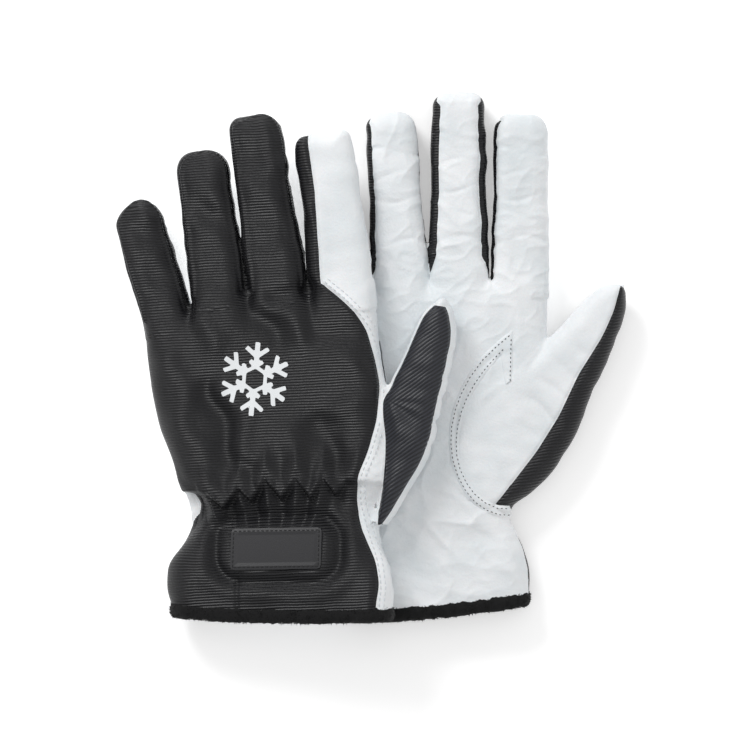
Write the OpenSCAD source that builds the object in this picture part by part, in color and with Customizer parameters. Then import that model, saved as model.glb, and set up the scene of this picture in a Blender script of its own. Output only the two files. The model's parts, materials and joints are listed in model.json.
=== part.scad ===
// A pair of lined cold-weather gloves for handling frozen stock, one lying across the other.
// Leather palms, ribbed fabric backs and a pile lining. The left glove lies back up over the right one,
// which lies palm up. Millimetres, fingers toward +Y, both thumbs toward +X, the table at z = 0.

/* [Hand] */
// Thickness of a stuffed hand, palm to back
hand_thickness = 20; // [16:0.5:26]
// Width of the palm at the knuckles
palm_width = 116; // [96:1:140]
// Length of the wrist cuff, from the elastic to the hem
cuff_length = 56; // [44:1:68]

/* [Fingers] */
// Thickness of a finger
finger_thickness = 17; // [14:0.5:20]
// Width of the middle finger; the others follow it
finger_width = 27.3; // [22:0.1:30]
// Length of the middle finger past the knuckle line; the others follow it
middle_length = 84; // [66:1:100]
// How far past the knuckle line a finger bends
knuckle_reach = 11; // [9:0.5:16]
// Largest bend of a finger, in degrees
finger_bend = 75; // [40:1:80]

/* [Thumb] */
// Length of the thumb along its middle
thumb_length = 116; // [95:1:130]
// Thickness of the thumb
thumb_thickness = 17.5; // [14:0.5:20]
// Largest fold of a thumb over the palm, in degrees
thumb_bend = 50; // [30:1:60]

/* [Layers] */
// Thickness of the palm leather
leather = 1.0; // [0.8:0.1:1.4]
// Thickness of the ribbed back fabric
fabric = 1.0; // [0.8:0.1:1.4]
// Thickness of the pile lining
lining = 2.0; // [1.2:0.1:2.6]
// Depth of the black side walls of a finger
side_wall = 9; // [5:0.5:11]

/* [Trim] */
// Length of the wrist label
label_length = 46; // [30:1:60]
// Height of the wrist label
label_height = 21; // [12:1:28]
// Width across the snowflake print
snowflake_width = 36; // [20:1:48]
// Width of the elastic at the wrist
elastic_width = 9; // [6:0.5:14]
// Length of pile standing out below the hem
pile_length = 6; // [3:0.5:8]

/* [Lay] */
// Lean of the upper glove across the lower one, in degrees
tilt = 11; // [9:0.5:14]

/* [Hidden] */
eps = 0.05;
half_gap = 0.22;          // half of the clearance at a bending line
under_skin = 0.15;        // slack between an outer layer and the lining
ring_points = 14;
hand_points = 20;
roundness = 2.7;          // superellipse power of fingers
hand_roundness = 3.4;
far = 70;
hand_half = hand_thickness / 2;
finger_half = finger_thickness / 2;
thumb_half = thumb_thickness / 2;
wide = palm_width / 116;  // palm widths follow this
fat = finger_width / 27.3;
long = middle_length / 84;
skin = max(leather, fabric);
lining_out = skin + under_skin;
lining_in = lining_out + lining;
axis_rise = 5;            // bending line above the palm surface
notch_spare = 2;          // extra opening of a palm notch, in degrees
wrist_y = -67;
hem_y = wrist_y - cuff_length;
reach_over = 12;          // where the upper glove rests on the lower one
lay_gap = 0.7;
fingertip_x = 127;
upper_z = max(
    hand_thickness + lay_gap + hand_half * cos(tilt) + reach_over * sin(tilt),
    fingertip_x * sin(tilt) + finger_half * cos(tilt) + eps);

// Hand stations: distance along the hand, thumbless edge, thumb edge
LEFT_HAND = [
    [hem_y, -98, 13], [hem_y + 11, -101.5, 13], [hem_y + 24, -99.8, 11.2], [hem_y + 34, -91.7, 7.1],
    [hem_y + 42, -89.1, 6.2], [wrist_y + 1, -90.7, 10], [-52, -97.3, 12], [-32, -104.9, 11.2],
    [-12, -109, 10.2], [8, -111.5, 6.4], [24, -112.1, 5], [32, -110, 4]];
RIGHT_HAND = [
    [hem_y, -11, 80.5], [hem_y + 11, -10.5, 81], [hem_y + 21, -10, 80.5], [hem_y + 34, -6, 77.5],
    [hem_y + 43, -4, 73], [wrist_y + 1, -7, 75], [-42, -13, 84], [-17, -17, 88],
    [8, -19, 90.3], [32, -18, 91], [41, -16.5, 90.5]];

// Fingers: root x, root y, lean, length, width, for index, middle, ring and little
LEFT_FINGERS = [
    [-10.7, 46, 8, 72 * long, 28 * fat], [-46.7, 50, 8, 77 * long, 27 * fat],
    [-76.4, 48, 7.9, 62 * long, 27 * fat], [-105.4, 36, 15.8, 48 * long, 24 * fat]];
RIGHT_FINGERS = [
    [77.8, 54, 0, 72 * long, 27 * fat], [46.3, 53, 0, 84 * long, 27.3 * fat],
    [16.9, 52, 3.7, 75.6 * long, 26 * fat], [-8, 42, 10, 52 * long, 22 * fat]];

// Webs at the crotches of the fingers: x, top y, width
LEFT_WEBS = [[-28, 37.5, 20], [-61, 41.5, 16], [-89.5, 30.5, 14]];
RIGHT_WEBS = [[62, 45.7, 18], [31, 43, 16], [3.5, 40, 14]];

// Thumb hinge: middle x, middle y, turn, lower and upper end along it, shoulder radius
LEFT_HINGE = [7.2, -45.5, 0, -28.5, 28.5, 12.6];
RIGHT_HINGE = [70.7, -43.2, 6.3, -34, 34, 23.4];

// Thumb: base x, base y, direction, length, turn to level, roll of its back panel
LEFT_THUMB = [16.2, -67, 77.7, thumb_length * 0.87, tilt, 0];
RIGHT_THUMB = [57, -52, 53.4, thumb_length, 0, 24];
// Half widths along a thumb, as fractions of its length
LEFT_LEAF = [[0, 9.5], [0.24, 15], [0.5, 17], [0.74, 14.5], [0.9, 11.5], [0.97, 8], [1, 4]];
RIGHT_LEAF = [[0, 23], [0.25, 20.5], [0.5, 16.8], [0.74, 14], [0.9, 11.5], [0.97, 8], [1, 4]];

// Edge between the back fabric and the leather that wraps round the thumb side
WRAP = [[-22, 41.5], [-10.5, 33], [2, 18], [6, 3], [8, -9.5], [7, -27], [3, -42], [-2, -54.5],
    [-3.5, wrist_y], [-0.5, -79.5], [6, -97], [8, -109.5], [7, -117], [6, -140]];

LEFT = [LEFT_HAND, LEFT_FINGERS, LEFT_WEBS, LEFT_HINGE, LEFT_THUMB, LEFT_LEAF, 0, 60];
RIGHT = [RIGHT_HAND, RIGHT_FINGERS, RIGHT_WEBS, RIGHT_HINGE, RIGHT_THUMB, RIGHT_LEAF, 77, finger_bend];

// Positions of the lists within a glove
HAND = 0; FINGERS = 1; WEBS = 2; HINGE = 3; THUMB = 4; LEAF = 5; SHIFT = 6; BEND = 7;

// ---------------------------------------------------------------- shapes

// Points round a superellipse of half width a and half height b, brought out to its full size
function raw_oval(n, e) = [for (i = [0:n - 1]) let (t = 360 * (i + 0.5) / n, c = cos(t), s = sin(t))
    [sign(c) * pow(abs(c), 2 / e), sign(s) * pow(abs(s), 2 / e)]];
function superellipse(a, b, n, e) = let (raw = raw_oval(n, e), most = max([for (p = raw) p[0]]),
    high = max([for (p = raw) p[1]])) [for (p = raw) [a * p[0] / most, b * p[1] / high]];

// A ring standing across the y axis
function ring(x, y, a, b, n, e) = [for (p = superellipse(a, b, n, e)) [x + p[0], y, p[1]]];

module segment(first, second)
    hull() polyhedron(concat(first, second),
        [[for (i = [0:len(first) - 1]) i], [for (i = [0:len(second) - 1]) len(first) + i]]);

module loft(rings)
    for (i = [0:len(rings) - 2]) segment(rings[i], rings[i + 1]);

// The hand at a depth below the outer surface; the open end is drawn out by extra
module hand_loft(glove, depth, extra) {
    rows = glove[HAND];
    loft([for (i = [0:len(rows) - 1]) let (r = rows[i], middle = (r[1] + r[2]) / 2, w = (r[2] - r[1]) * wide)
        ring(middle, r[0] - (i == 0 ? extra : 0), w / 2 - depth,
            (i < len(rows) - 1 ? hand_half : finger_half) - depth, hand_points, hand_roundness)]);
}

// A finger in its own frame: root at the origin, pointing along +y
module finger_loft(length, width, depth) {
    half = width / 2;
    rows = [[-24, 0.94], [0, 1], [length * 0.55, 1], [length - 15, 0.98], [length - 6, 0.86],
        [length - 2, 0.66], [length, 0.36]];
    loft([for (r = rows) ring(0, r[0] - (r[0] > 0 ? depth : 0), half * r[1] - depth,
        finger_half * (0.25 + 0.75 * r[1]) - depth, ring_points, roundness)]);
}

module at_finger(f)
    translate([f[0], f[1], 0]) rotate([0, 0, f[2]]) children();

module web(w, depth)
    segment(ring(w[0], 20, w[2] / 2, finger_half - depth, ring_points, roundness),
        ring(w[0], w[1] - depth, w[2] / 2, finger_half - 1.5 - depth, ring_points, roundness));

module at_hinge(glove) {
    h = glove[HINGE];
    translate([h[0], h[1], 0]) rotate([0, 0, h[2]]) children();
}

// The thumb leaf, turned about its hinge so that it lies level
module thumb_loft(glove, depth) {
    h = glove[HINGE];
    t = glove[THUMB];
    translate([h[0], 0, 0]) rotate([0, t[4], 0]) translate([t[0] - h[0], t[1], 0]) rotate([0, 0, t[2] - 90])
        loft([for (r = glove[LEAF]) ring(0, r[0] * t[3] - (r[0] > 0 ? depth : 0), r[1] - depth,
            thumb_half * (0.3 + 0.7 * min(1, r[1] / 11)) - depth, ring_points, roundness)]);
}

// The hand with its fingers at a depth below the outer surface
module glove_solid(glove, depth, extra = 0) {
    hand_loft(glove, depth, extra);
    for (f = glove[FINGERS]) at_finger(f) finger_loft(f[3], f[4], depth);
    for (w = glove[WEBS]) web(w, depth);
}

// The way from the hand into the thumb, within the length of the hinge
module thumb_passage(glove, depth) {
    h = glove[HINGE];
    intersection() {
        thumb_loft(glove, depth);
        at_hinge(glove) translate([-far, h[3] + 3, -far]) cube([2 * far, h[4] - h[3] - 6, 2 * far]);
    }
}

module shell(glove, outer, inner)
    difference() {
        glove_solid(glove, outer);
        glove_solid(glove, inner, 2);
        thumb_passage(glove, inner);
    }

// ---------------------------------------------------------------- bending lines

// Space beyond a bending line: straight on the back side, opening in a notch on the palm side
function beyond(side, half_angle, axis_z) = let (run = (far + axis_z) * tan(half_angle), g = side * half_gap)
    [[g, far], [g, axis_z], [g + side * run, -far], [200, -far], [200, far]];

finger_axis_z = -finger_half + axis_rise;
thumb_axis_z = -hand_half + axis_rise;

module past_knuckle(f, side, bend)
    at_finger(f) translate([0, knuckle_reach, 0]) rotate([90, 0, 90])
        linear_extrude(f[4] + 3, center = true) polygon(beyond(side, bend / 2 + notch_spare, finger_axis_z));

module past_hinge(glove, side) {
    h = glove[HINGE];
    grow = side * half_gap;
    at_hinge(glove) {
        translate([0, h[4] - grow, 0]) rotate([90, 0, 0])
            linear_extrude(h[4] - h[3] - 2 * grow)
                polygon(beyond(side, thumb_bend / 2 + notch_spare, thumb_axis_z));
        if (side > 0)
            difference() {
                translate([0, h[4] - grow - eps, -far]) cube([200, 200, 2 * far]);
                translate([0, h[4] - grow - 2 * eps, thumb_axis_z]) rotate([-90, 0, 0])
                    cylinder(r = h[5], h = 210, $fn = 48);
            }
    }
}

// What stays with the hand when the fingers and thumb are taken off
module hand_part(glove)
    difference() {
        children();
        for (f = glove[FINGERS]) past_knuckle(f, -1, glove[BEND]);
        past_hinge(glove, -1);
        thumb_tip_space(glove);
    }

// The part of the thumb past its shoulder never belongs to the hand
module thumb_tip_space(glove) {
    h = glove[HINGE];
    at_hinge(glove) difference() {
        translate([0, h[4] - 1, -far]) cube([200, 200 - 2 * h[4], 2 * far]);
        translate([-far, h[4] - 2, thumb_axis_z]) rotate([-90, 0, 0])
            translate([far, 0, 0]) cylinder(r = h[5] - 0.5, h = 210, $fn = 48);
    }
}

module finger_part(glove, i)
    intersection() {
        children();
        past_knuckle(glove[FINGERS][i], 1, glove[BEND]);
    }

module thumb_part(glove)
    intersection() {
        children();
        past_hinge(glove, 1);
    }

// ---------------------------------------------------------------- panels

module slab(low, high)
    translate([-300, -300, low]) cube([600, 600, high - low]);

module wrap_side(glove)
    translate([glove[SHIFT], 0, -far]) linear_extrude(2 * far)
        polygon(concat(WRAP, [[200, -140], [200, 75], [-22, 75]]));

module label_zone(glove, grow)
    translate([glove[SHIFT] * 0.97 - 44, wrist_y - cuff_length / 2 + 4, 0])
        translate([-label_length / 2 - grow, -label_height / 2 - grow, 0])
            cube([label_length + 2 * grow, label_height + 2 * grow, far]);

module snowflake_zone(glove, grow) {
    arm = snowflake_width / 2;
    bar = 2.4;
    translate([glove[SHIFT] * 0.97 - 55.5, -6.5, 0]) for (k = [0:5]) rotate([0, 0, 60 * k]) {
        translate([0, -bar / 2 - grow, 0]) cube([arm + grow, bar + 2 * grow, far]);
        for (s = [-1, 1]) translate([arm * 0.55, 0, 0]) rotate([0, 0, 45 * s])
            translate([0, -bar / 2 - grow, 0]) cube([arm * 0.36 + grow, bar + 2 * grow, far]);
    }
}

module elastic_zone(grow)
    translate([-300, wrist_y - grow, 0]) cube([600, elastic_width + 2 * grow, far]);

module whole_loft(glove, part, depth) {
    if (part == 4) thumb_union(glove, depth);
    else if (part < 4) let (f = glove[FINGERS][part]) at_finger(f) finger_loft(f[3], f[4], depth);
}

// The thumb with the ball of the hand it grows from
module thumb_union(glove, depth) {
    thumb_loft(glove, depth);
    hand_loft(glove, depth, 0);
}

module part_shell(glove, part, outer, inner)
    difference() {
        whole_loft(glove, part, outer);
        whole_loft(glove, part, inner);
    }

inlay = 0.5;              // depth of the flush label and print

module palm_leather(glove)
    hand_part(glove) intersection() {
        shell(glove, 0, leather);
        union() {
            slab(-far, -1);
            intersection() { slab(-1 - eps, far); wrap_side(glove); }
        }
    }

module back_fabric(glove)
    difference() {
        hand_part(glove) intersection() {
            shell(glove, 0, fabric);
            slab(-1, far);
        }
        wrap_side(glove);
        intersection() {
            union() { label_zone(glove, eps); snowflake_zone(glove, eps); }
            slab(hand_half - inlay - eps, far);
        }
    }

module hand_lining(glove)
    difference() {
        hand_part(glove) shell(glove, lining_out, lining_in);
        intersection() {
            elastic_zone(0.3);
            slab(hand_half - skin - 1.1, far);
        }
    }

module wrist_elastic(glove)
    intersection() {
        glove_solid(glove, skin + eps);
        elastic_zone(0);
        slab(hand_half - skin - 1, far);
    }

module hem_trim(glove) {
    row = glove[HAND][0];
    middle = (row[1] + row[2]) / 2;
    half = (row[2] - row[1]) * wide / 2;
    difference() {
        segment(ring(middle, hem_y - 0.1, half, hand_half, hand_points, hand_roundness),
            ring(middle, hem_y - pile_length, half - 0.8, hand_half - 0.8, hand_points, hand_roundness));
        segment(ring(middle, hem_y + 1, half - lining_in, hand_half - lining_in, hand_points, hand_roundness),
            ring(middle, hem_y - pile_length - 1, half - lining_in, hand_half - lining_in, hand_points,
                hand_roundness));
    }
}

module wrist_label(glove)
    intersection() {
        glove_solid(glove, 0);
        label_zone(glove, 0);
        slab(hand_half - inlay, far);
    }

module snowflake_print(glove)
    intersection() {
        glove_solid(glove, 0);
        snowflake_zone(glove, 0);
        slab(hand_half - inlay, far);
    }

// The stitched band that frames the thumb opening, raised on the palm
module thumb_seam_band(glove) {
    h = glove[HINGE];
    hand_part(glove) intersection() {
        difference() {
            hand_loft(glove, -0.5, 0);
            glove_solid(glove, -0.02, 1);
        }
        slab(-far, -2);
        translate([h[0] + 1, h[1] + 8, 0]) difference() {
            scale([31, 47, 1]) cylinder(r = 1, h = 2 * far, center = true, $fn = 48);
            scale([25, 41, 1]) cylinder(r = 1, h = 3 * far, center = true, $fn = 48);
        }
    }
}

module finger_front(glove, i)
    finger_part(glove, i) intersection() {
        part_shell(glove, i, 0, leather);
        slab(-far, -side_wall / 2);
    }

module finger_sides(glove, i)
    finger_part(glove, i) intersection() {
        part_shell(glove, i, 0, leather);
        slab(-side_wall / 2, side_wall / 2);
    }

module finger_back(glove, i)
    finger_part(glove, i) intersection() {
        part_shell(glove, i, 0, fabric);
        slab(side_wall / 2, far);
    }

module finger_lining(glove, i)
    finger_part(glove, i) part_shell(glove, i, lining_out, lining_in);

// The index finger is leather all round but for one black side wall
module index_side_space(glove) {
    f = glove[FINGERS][0];
    at_finger(f) translate([-f[4], -50, -side_wall / 2]) cube([f[4] * 0.72, 200, far]);
}

module index_leather(glove)
    finger_part(glove, 0) difference() {
        part_shell(glove, 0, 0, leather);
        index_side_space(glove);
    }

module index_side(glove)
    finger_part(glove, 0) intersection() {
        part_shell(glove, 0, 0, leather);
        index_side_space(glove);
    }

// The back panel of a thumb lies above a plane rolled about its length
module thumb_back_space(glove) {
    t = glove[THUMB];
    h = glove[HINGE];
    translate([h[0], 0, 0]) rotate([0, t[4], 0]) translate([t[0] - h[0], t[1], 0]) rotate([0, 0, t[2] - 90])
        rotate([0, t[5], 0]) translate([-far, -far, thumb_half * (t[5] > 0 ? 0.05 : 0.34)])
            cube([2 * far, 220, far]);
}

module thumb_leather(glove)
    thumb_part(glove) difference() {
        part_shell(glove, 4, 0, leather);
        thumb_back_space(glove);
    }

module thumb_back(glove)
    thumb_part(glove) intersection() {
        part_shell(glove, 4, 0, leather);
        thumb_back_space(glove);
    }

module thumb_lining(glove)
    thumb_part(glove) part_shell(glove, 4, lining_out, lining_in);

// ---------------------------------------------------------------- placing

middle_x = 2.86;          // centre of the pair, moved to the origin
middle_y = 4;

module upper() translate([-middle_x, -middle_y, upper_z]) rotate([0, -tilt, 0]) children();
module lower() translate([-middle_x, -middle_y, hand_half]) mirror([0, 0, 1]) children();

white = [0.92, 0.93, 0.94];
black = [0.12, 0.12, 0.13];
charcoal = [0.24, 0.24, 0.27];
soft = [0.07, 0.07, 0.07];
silver = [0.85, 0.86, 0.87];

module left_palm_leather() color(white) upper() palm_leather(LEFT);
module left_back_fabric() color(black) upper() back_fabric(LEFT);
module left_hand_lining() color(soft) upper() hand_lining(LEFT);
module left_wrist_elastic() color(soft) upper() wrist_elastic(LEFT);
module left_hem_pile_trim() color(soft) upper() hem_trim(LEFT);
module left_wrist_label() color(charcoal) upper() wrist_label(LEFT);
module left_snowflake_print() color(silver) upper() snowflake_print(LEFT);
module left_thumb_seam_band() color(white) upper() thumb_seam_band(LEFT);
module left_index_leather() color(white) upper() index_leather(LEFT);
module left_index_side() color(black) upper() index_side(LEFT);
module left_index_lining() color(soft) upper() finger_lining(LEFT, 0);
module left_middle_front() color(white) upper() finger_front(LEFT, 1);
module left_middle_sides() color(black) upper() finger_sides(LEFT, 1);
module left_middle_back() color(black) upper() finger_back(LEFT, 1);
module left_middle_lining() color(soft) upper() finger_lining(LEFT, 1);
module left_ring_front() color(white) upper() finger_front(LEFT, 2);
module left_ring_sides() color(black) upper() finger_sides(LEFT, 2);
module left_ring_back() color(black) upper() finger_back(LEFT, 2);
module left_ring_lining() color(soft) upper() finger_lining(LEFT, 2);
module left_little_front() color(white) upper() finger_front(LEFT, 3);
module left_little_sides() color(black) upper() finger_sides(LEFT, 3);
module left_little_back() color(black) upper() finger_back(LEFT, 3);
module left_little_lining() color(soft) upper() finger_lining(LEFT, 3);
module left_thumb_leather() color(white) upper() thumb_leather(LEFT);
module left_thumb_back() color(charcoal) upper() thumb_back(LEFT);
module left_thumb_lining() color(soft) upper() thumb_lining(LEFT);
module right_palm_leather() color(white) lower() palm_leather(RIGHT);
module right_back_fabric() color(black) lower() back_fabric(RIGHT);
module right_hand_lining() color(soft) lower() hand_lining(RIGHT);
module right_wrist_elastic() color(soft) lower() wrist_elastic(RIGHT);
module right_hem_pile_trim() color(soft) lower() hem_trim(RIGHT);
module right_wrist_label() color(charcoal) lower() wrist_label(RIGHT);
module right_snowflake_print() color(silver) lower() snowflake_print(RIGHT);
module right_thumb_seam_band() color(white) lower() thumb_seam_band(RIGHT);
module right_index_leather() color(white) lower() index_leather(RIGHT);
module right_index_side() color(black) lower() index_side(RIGHT);
module right_index_lining() color(soft) lower() finger_lining(RIGHT, 0);
module right_middle_front() color(white) lower() finger_front(RIGHT, 1);
module right_middle_sides() color(black) lower() finger_sides(RIGHT, 1);
module right_middle_back() color(black) lower() finger_back(RIGHT, 1);
module right_middle_lining() color(soft) lower() finger_lining(RIGHT, 1);
module right_ring_front() color(white) lower() finger_front(RIGHT, 2);
module right_ring_sides() color(black) lower() finger_sides(RIGHT, 2);
module right_ring_back() color(black) lower() finger_back(RIGHT, 2);
module right_ring_lining() color(soft) lower() finger_lining(RIGHT, 2);
module right_little_front() color(white) lower() finger_front(RIGHT, 3);
module right_little_sides() color(black) lower() finger_sides(RIGHT, 3);
module right_little_back() color(black) lower() finger_back(RIGHT, 3);
module right_little_lining() color(soft) lower() finger_lining(RIGHT, 3);
module right_thumb_leather() color(white) lower() thumb_leather(RIGHT);
module right_thumb_back() color(charcoal) lower() thumb_back(RIGHT);
module right_thumb_lining() color(soft) lower() thumb_lining(RIGHT);

left_palm_leather();
left_back_fabric();
left_hand_lining();
left_wrist_elastic();
left_hem_pile_trim();
left_wrist_label();
left_snowflake_print();
left_thumb_seam_band();
left_index_leather();
left_index_side();
left_index_lining();
left_middle_front();
left_middle_sides();
left_middle_back();
left_middle_lining();
left_ring_front();
left_ring_sides();
left_ring_back();
left_ring_lining();
left_little_front();
left_little_sides();
left_little_back();
left_little_lining();
left_thumb_leather();
left_thumb_back();
left_thumb_lining();
right_palm_leather();
right_back_fabric();
right_hand_lining();
right_wrist_elastic();
right_hem_pile_trim();
right_wrist_label();
right_snowflake_print();
right_thumb_seam_band();
right_index_leather();
right_index_side();
right_index_lining();
right_middle_front();
right_middle_sides();
right_middle_back();
right_middle_lining();
right_ring_front();
right_ring_sides();
right_ring_back();
right_ring_lining();
right_little_front();
right_little_sides();
right_little_back();
right_little_lining();
right_thumb_leather();
right_thumb_back();
right_thumb_lining();
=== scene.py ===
# %% [markdown]
# # A pair of lined cold-weather gloves, laid one across the other
# Each glove is sewn from white leather and black ribbed fabric over a pile lining. The skin of a stuffed
# glove has no flat faces, so it is built here as one smooth surface and then cut along its seams into
# the real panels. The panels of the hand ride on the body of the hand. The panels of a finger or thumb
# that has a body of its own are not attached to it and do not bend.

# %% Kit and frame
import json
import math

import bpy
import numpy as np
import openvdb as vdb
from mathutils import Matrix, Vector
from mathutils.bvhtree import BVHTree

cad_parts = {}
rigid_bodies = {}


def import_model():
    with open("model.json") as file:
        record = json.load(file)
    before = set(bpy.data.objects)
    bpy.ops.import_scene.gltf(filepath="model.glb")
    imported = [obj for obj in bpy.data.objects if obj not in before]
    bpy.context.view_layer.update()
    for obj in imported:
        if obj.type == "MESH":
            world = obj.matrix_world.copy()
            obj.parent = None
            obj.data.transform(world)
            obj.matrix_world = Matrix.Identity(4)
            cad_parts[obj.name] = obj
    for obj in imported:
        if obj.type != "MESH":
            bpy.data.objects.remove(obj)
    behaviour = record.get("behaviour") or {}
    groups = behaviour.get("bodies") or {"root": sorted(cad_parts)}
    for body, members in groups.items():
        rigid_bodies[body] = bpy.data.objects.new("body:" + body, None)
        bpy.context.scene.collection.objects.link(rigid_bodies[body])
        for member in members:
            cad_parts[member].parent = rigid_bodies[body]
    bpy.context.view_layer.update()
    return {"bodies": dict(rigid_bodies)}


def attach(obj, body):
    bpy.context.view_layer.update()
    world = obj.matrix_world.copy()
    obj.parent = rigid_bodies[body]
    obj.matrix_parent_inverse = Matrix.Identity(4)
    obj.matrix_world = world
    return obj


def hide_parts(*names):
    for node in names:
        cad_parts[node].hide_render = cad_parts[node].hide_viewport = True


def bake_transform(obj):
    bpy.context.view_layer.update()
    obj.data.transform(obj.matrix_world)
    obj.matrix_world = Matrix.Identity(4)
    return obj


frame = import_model()

MM = 0.001
CENTRE = np.array([2.86, 4.0])      # the pair's centre in the pattern's own millimetres
TILT = math.radians(11)             # the upper glove leans on the lower one
UPPER_Z = 32.806                    # height of the upper glove's middle plane
LOWER_Z = 10.0                      # height of the lower glove's middle plane

# %% [markdown]
# ## Patterns
# All sizes are millimetres in the plan of a flat glove, thumb toward +x and fingers toward +y.
# z is positive toward the back of the hand and negative toward the palm.

# %% Sizes of both gloves
LEFT = dict(
    side="left",
    # distance along the hand, little-finger edge, thumb edge
    hand=[(-140, -97, 13), (-123, -97.8, 13.2), (-112, -101.4, 13.4), (-99.5, -99.8, 11.2),
          (-89.5, -92.5, 7.6), (-80, -88.5, 6.6), (-70, -89.5, 9.4), (-60, -93.5, 11.2), (-46, -99, 12),
          (-32, -104.5, 11.4), (-12, -109, 10.2), (8, -111.5, 6.6), (28, -113.5, 4.6), (46, -115, 3.6)],
    top=[(-118, 27), (-104, 31), (-90, 27.5), (-76, 38), (-61, 38.5), (-46, 40), (-28, 35.5), (-10, 40),
         (6, 44)],
    # root x, root y, lean, length, width
    fingers=dict(index=(-12.4, 46, 8, 71.5, 30), middle=(-46.7, 50, 8, 76, 27.4),
                 ring=(-76.4, 48, 7.9, 61, 27),
                 little=(-105.4, 36, 15.8, 47, 24.5)),
    hinge=(7.2, -45.5, 0, -28.5, 28.5),
    thumb=(16.2, -67, 77.7, 99.5),
    # along the thumb, left edge, right edge
    leaf=[(-14, -9, -3), (-8, -9, -0.5), (8, -10, 4.5), (17, -11, 8), (30, -13.2, 10.2), (40, -17, 10.8),
          (48, -18.4, 10.8), (61, -15, 10.6), (72, -12.8, 10.8), (84, -10.8, 10.6), (93, -8.6, 8.2),
          (100, -4.5, 4.5), (104, 0, 0)],
    # how much each base widens on its left and right, and how round the tip is
    flare=dict(index=(2.6, 0), middle=(1.3, 2.2), ring=(1.3, 1.3), little=(0, 1.6)),
    corner=dict(index=(0.62, 0.34), middle=(0.44, 0.78), ring=(0.78, 0.9), little=(0.86, 0.86)),
    shift=0)
RIGHT = dict(
    side="right",
    hand=[(-140, -12, 80), (-123, -11.2, 81), (-112, -10.4, 81.4), (-102, -9.8, 81), (-89.5, -6.2, 78),
          (-80, -4.2, 73.4), (-72, -5.5, 72), (-60, -9, 75), (-42, -13.2, 82), (-17, -17, 88), (8, -19, 90.4),
          (33, -18.2, 91), (50, -17, 91.3)],
    top=[(-18, 36), (-4, 40), (5, 37.5), (17, 43), (31, 40.5), (46, 45), (62, 43), (78, 50), (92, 56)],
    fingers=dict(index=(77.8, 54, 0, 72, 27.6), middle=(46.3, 53, 0, 84, 28), ring=(16.9, 52, 3.7, 75, 26.4),
                 little=(-8, 42, 10, 52, 22.4)),
    hinge=(70.7, -43.2, 6.3, -34, 34),
    thumb=(57, -52, 53.4, 116),
    leaf=[(-15, -2, 12), (-12, -8, 18), (-6, -15, 23.5), (4, -20, 27.6), (15, -23, 29), (28, -23, 29.6),
          (41, -19, 29), (55, -15, 25), (66, -12.4, 21.8), (78, -10.6, 19.6), (91, -9.6, 16.6),
          (102, -8, 13.4), (110, -5.6, 10.4), (115, -1.5, 6.5), (119, 3, 3)],
    flare=dict(index=(1.2, 0), middle=(1.2, 1.2), ring=(1.2, 1.2), little=(0, 1.2)),
    corner=dict(index=(0.6, 0.6), middle=(0.6, 0.6), ring=(0.6, 0.7), little=(0.8, 0.8)),
    shift=77)
# edge between the back fabric and the leather that wraps round the thumb side: y, x
WRAP = [(-140, 6), (-117, 6.8), (-109.5, 8), (-97, 6), (-79.5, -0.5), (-67, -3.5), (-54.5, -2), (-42, 3),
        (-27, 7), (-9.5, 8.4), (3, 6), (18, 2), (27, -4), (33, -10.5), (38, -17), (41.5, -22), (46, -22.6)]
# the band that frames the thumb on the right palm, from its arrow tip down to the side seam
BAND_OUTER = [(73.6, 18.5), (65.8, 12.4), (57.9, 5), (51.2, -4), (46.2, -13.5), (43.2, -22), (41.6, -30.5),
              (41.3, -39), (42.5, -48), (45.4, -56.5), (49.7, -64), (54.6, -69.6), (60.5, -73.6), (67, -75.8),
              (73, -76)]
BAND_INNER = [(73.5, 2), (72.8, -7.5), (71.4, -11.6), (69.4, -8.6), (67.4, 5.5), (60.4, -3), (54.6, -11.6),
              (50.4, -19.5), (47.7, -27.5), (46.4, -35), (46.3, -43), (47.6, -50.5), (50.4, -57),
              (54.4, -62.6), (59.6, -67), (65.5, -69.6), (72, -70)]
HAND_HALF, FINGER_HALF, THUMB_HALF = 10.0, 8.6, 8.8    # half thicknesses
HAND_EDGE, FINGER_EDGE, THUMB_EDGE = 15.0, 10.2, 10.0  # how far in from the outline each swells
VOXEL = 0.9                         # spacing of the grid that the skins are meshed from
LINING_DEPTH = 2.8                  # how far the lining lies under the outside
WALL_DEPTH = 0.8                    # the same for the walls at the root of a thumb
FOLD_SLACK = 1.5                    # how far walls and lining reach past a thumb's fold line

# %% [markdown]
# ## Soft shapes from distances
# A stuffed glove swells from its outline. The distance in from the outline gives the swelling:
# the skin leaves the edge upright and flattens over the middle, as a pillow does.

# %% Distance and noise tools
def smooth_min(a, b, k):
    h = np.clip(0.5 + 0.5 * (b - a) / k, 0, 1)
    return b * (1 - h) + a * h - k * h * (1 - h)


def curve(table, column, at):
    """A smooth curve through a table's points."""
    t = np.array(table, float)
    fine = np.linspace(t[0, 0], t[-1, 0], 600)
    y = np.interp(fine, t[:, 0], t[:, column])
    step = fine[1] - fine[0]
    width = max(1, int(6 / step))
    kernel = np.hanning(2 * width + 3)
    padded = np.pad(y, width + 1, mode="reflect", reflect_type="odd")
    return np.interp(at, fine, np.convolve(padded, kernel / kernel.sum(), "valid"))


def waves(seed, x, y, length, count=9):
    """Smooth seeded noise about as wide as length, from -1 to 1."""
    r = np.random.default_rng(seed)
    out = 0
    for _ in range(count):
        a, p, s = r.uniform(0, 2 * np.pi), r.uniform(0, 2 * np.pi), r.uniform(0.7, 1.5)
        out = out + np.sin((np.cos(a) * x + np.sin(a) * y) * 2 * np.pi / (length * s) + p)
    return out / count * 1.6


def ease(t):
    """A smooth step over 0 to 1."""
    return t * t * (3 - 2 * t)


def bump_at(value, middle, width):
    return np.exp(-(((value - middle) / width) ** 2))


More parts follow.
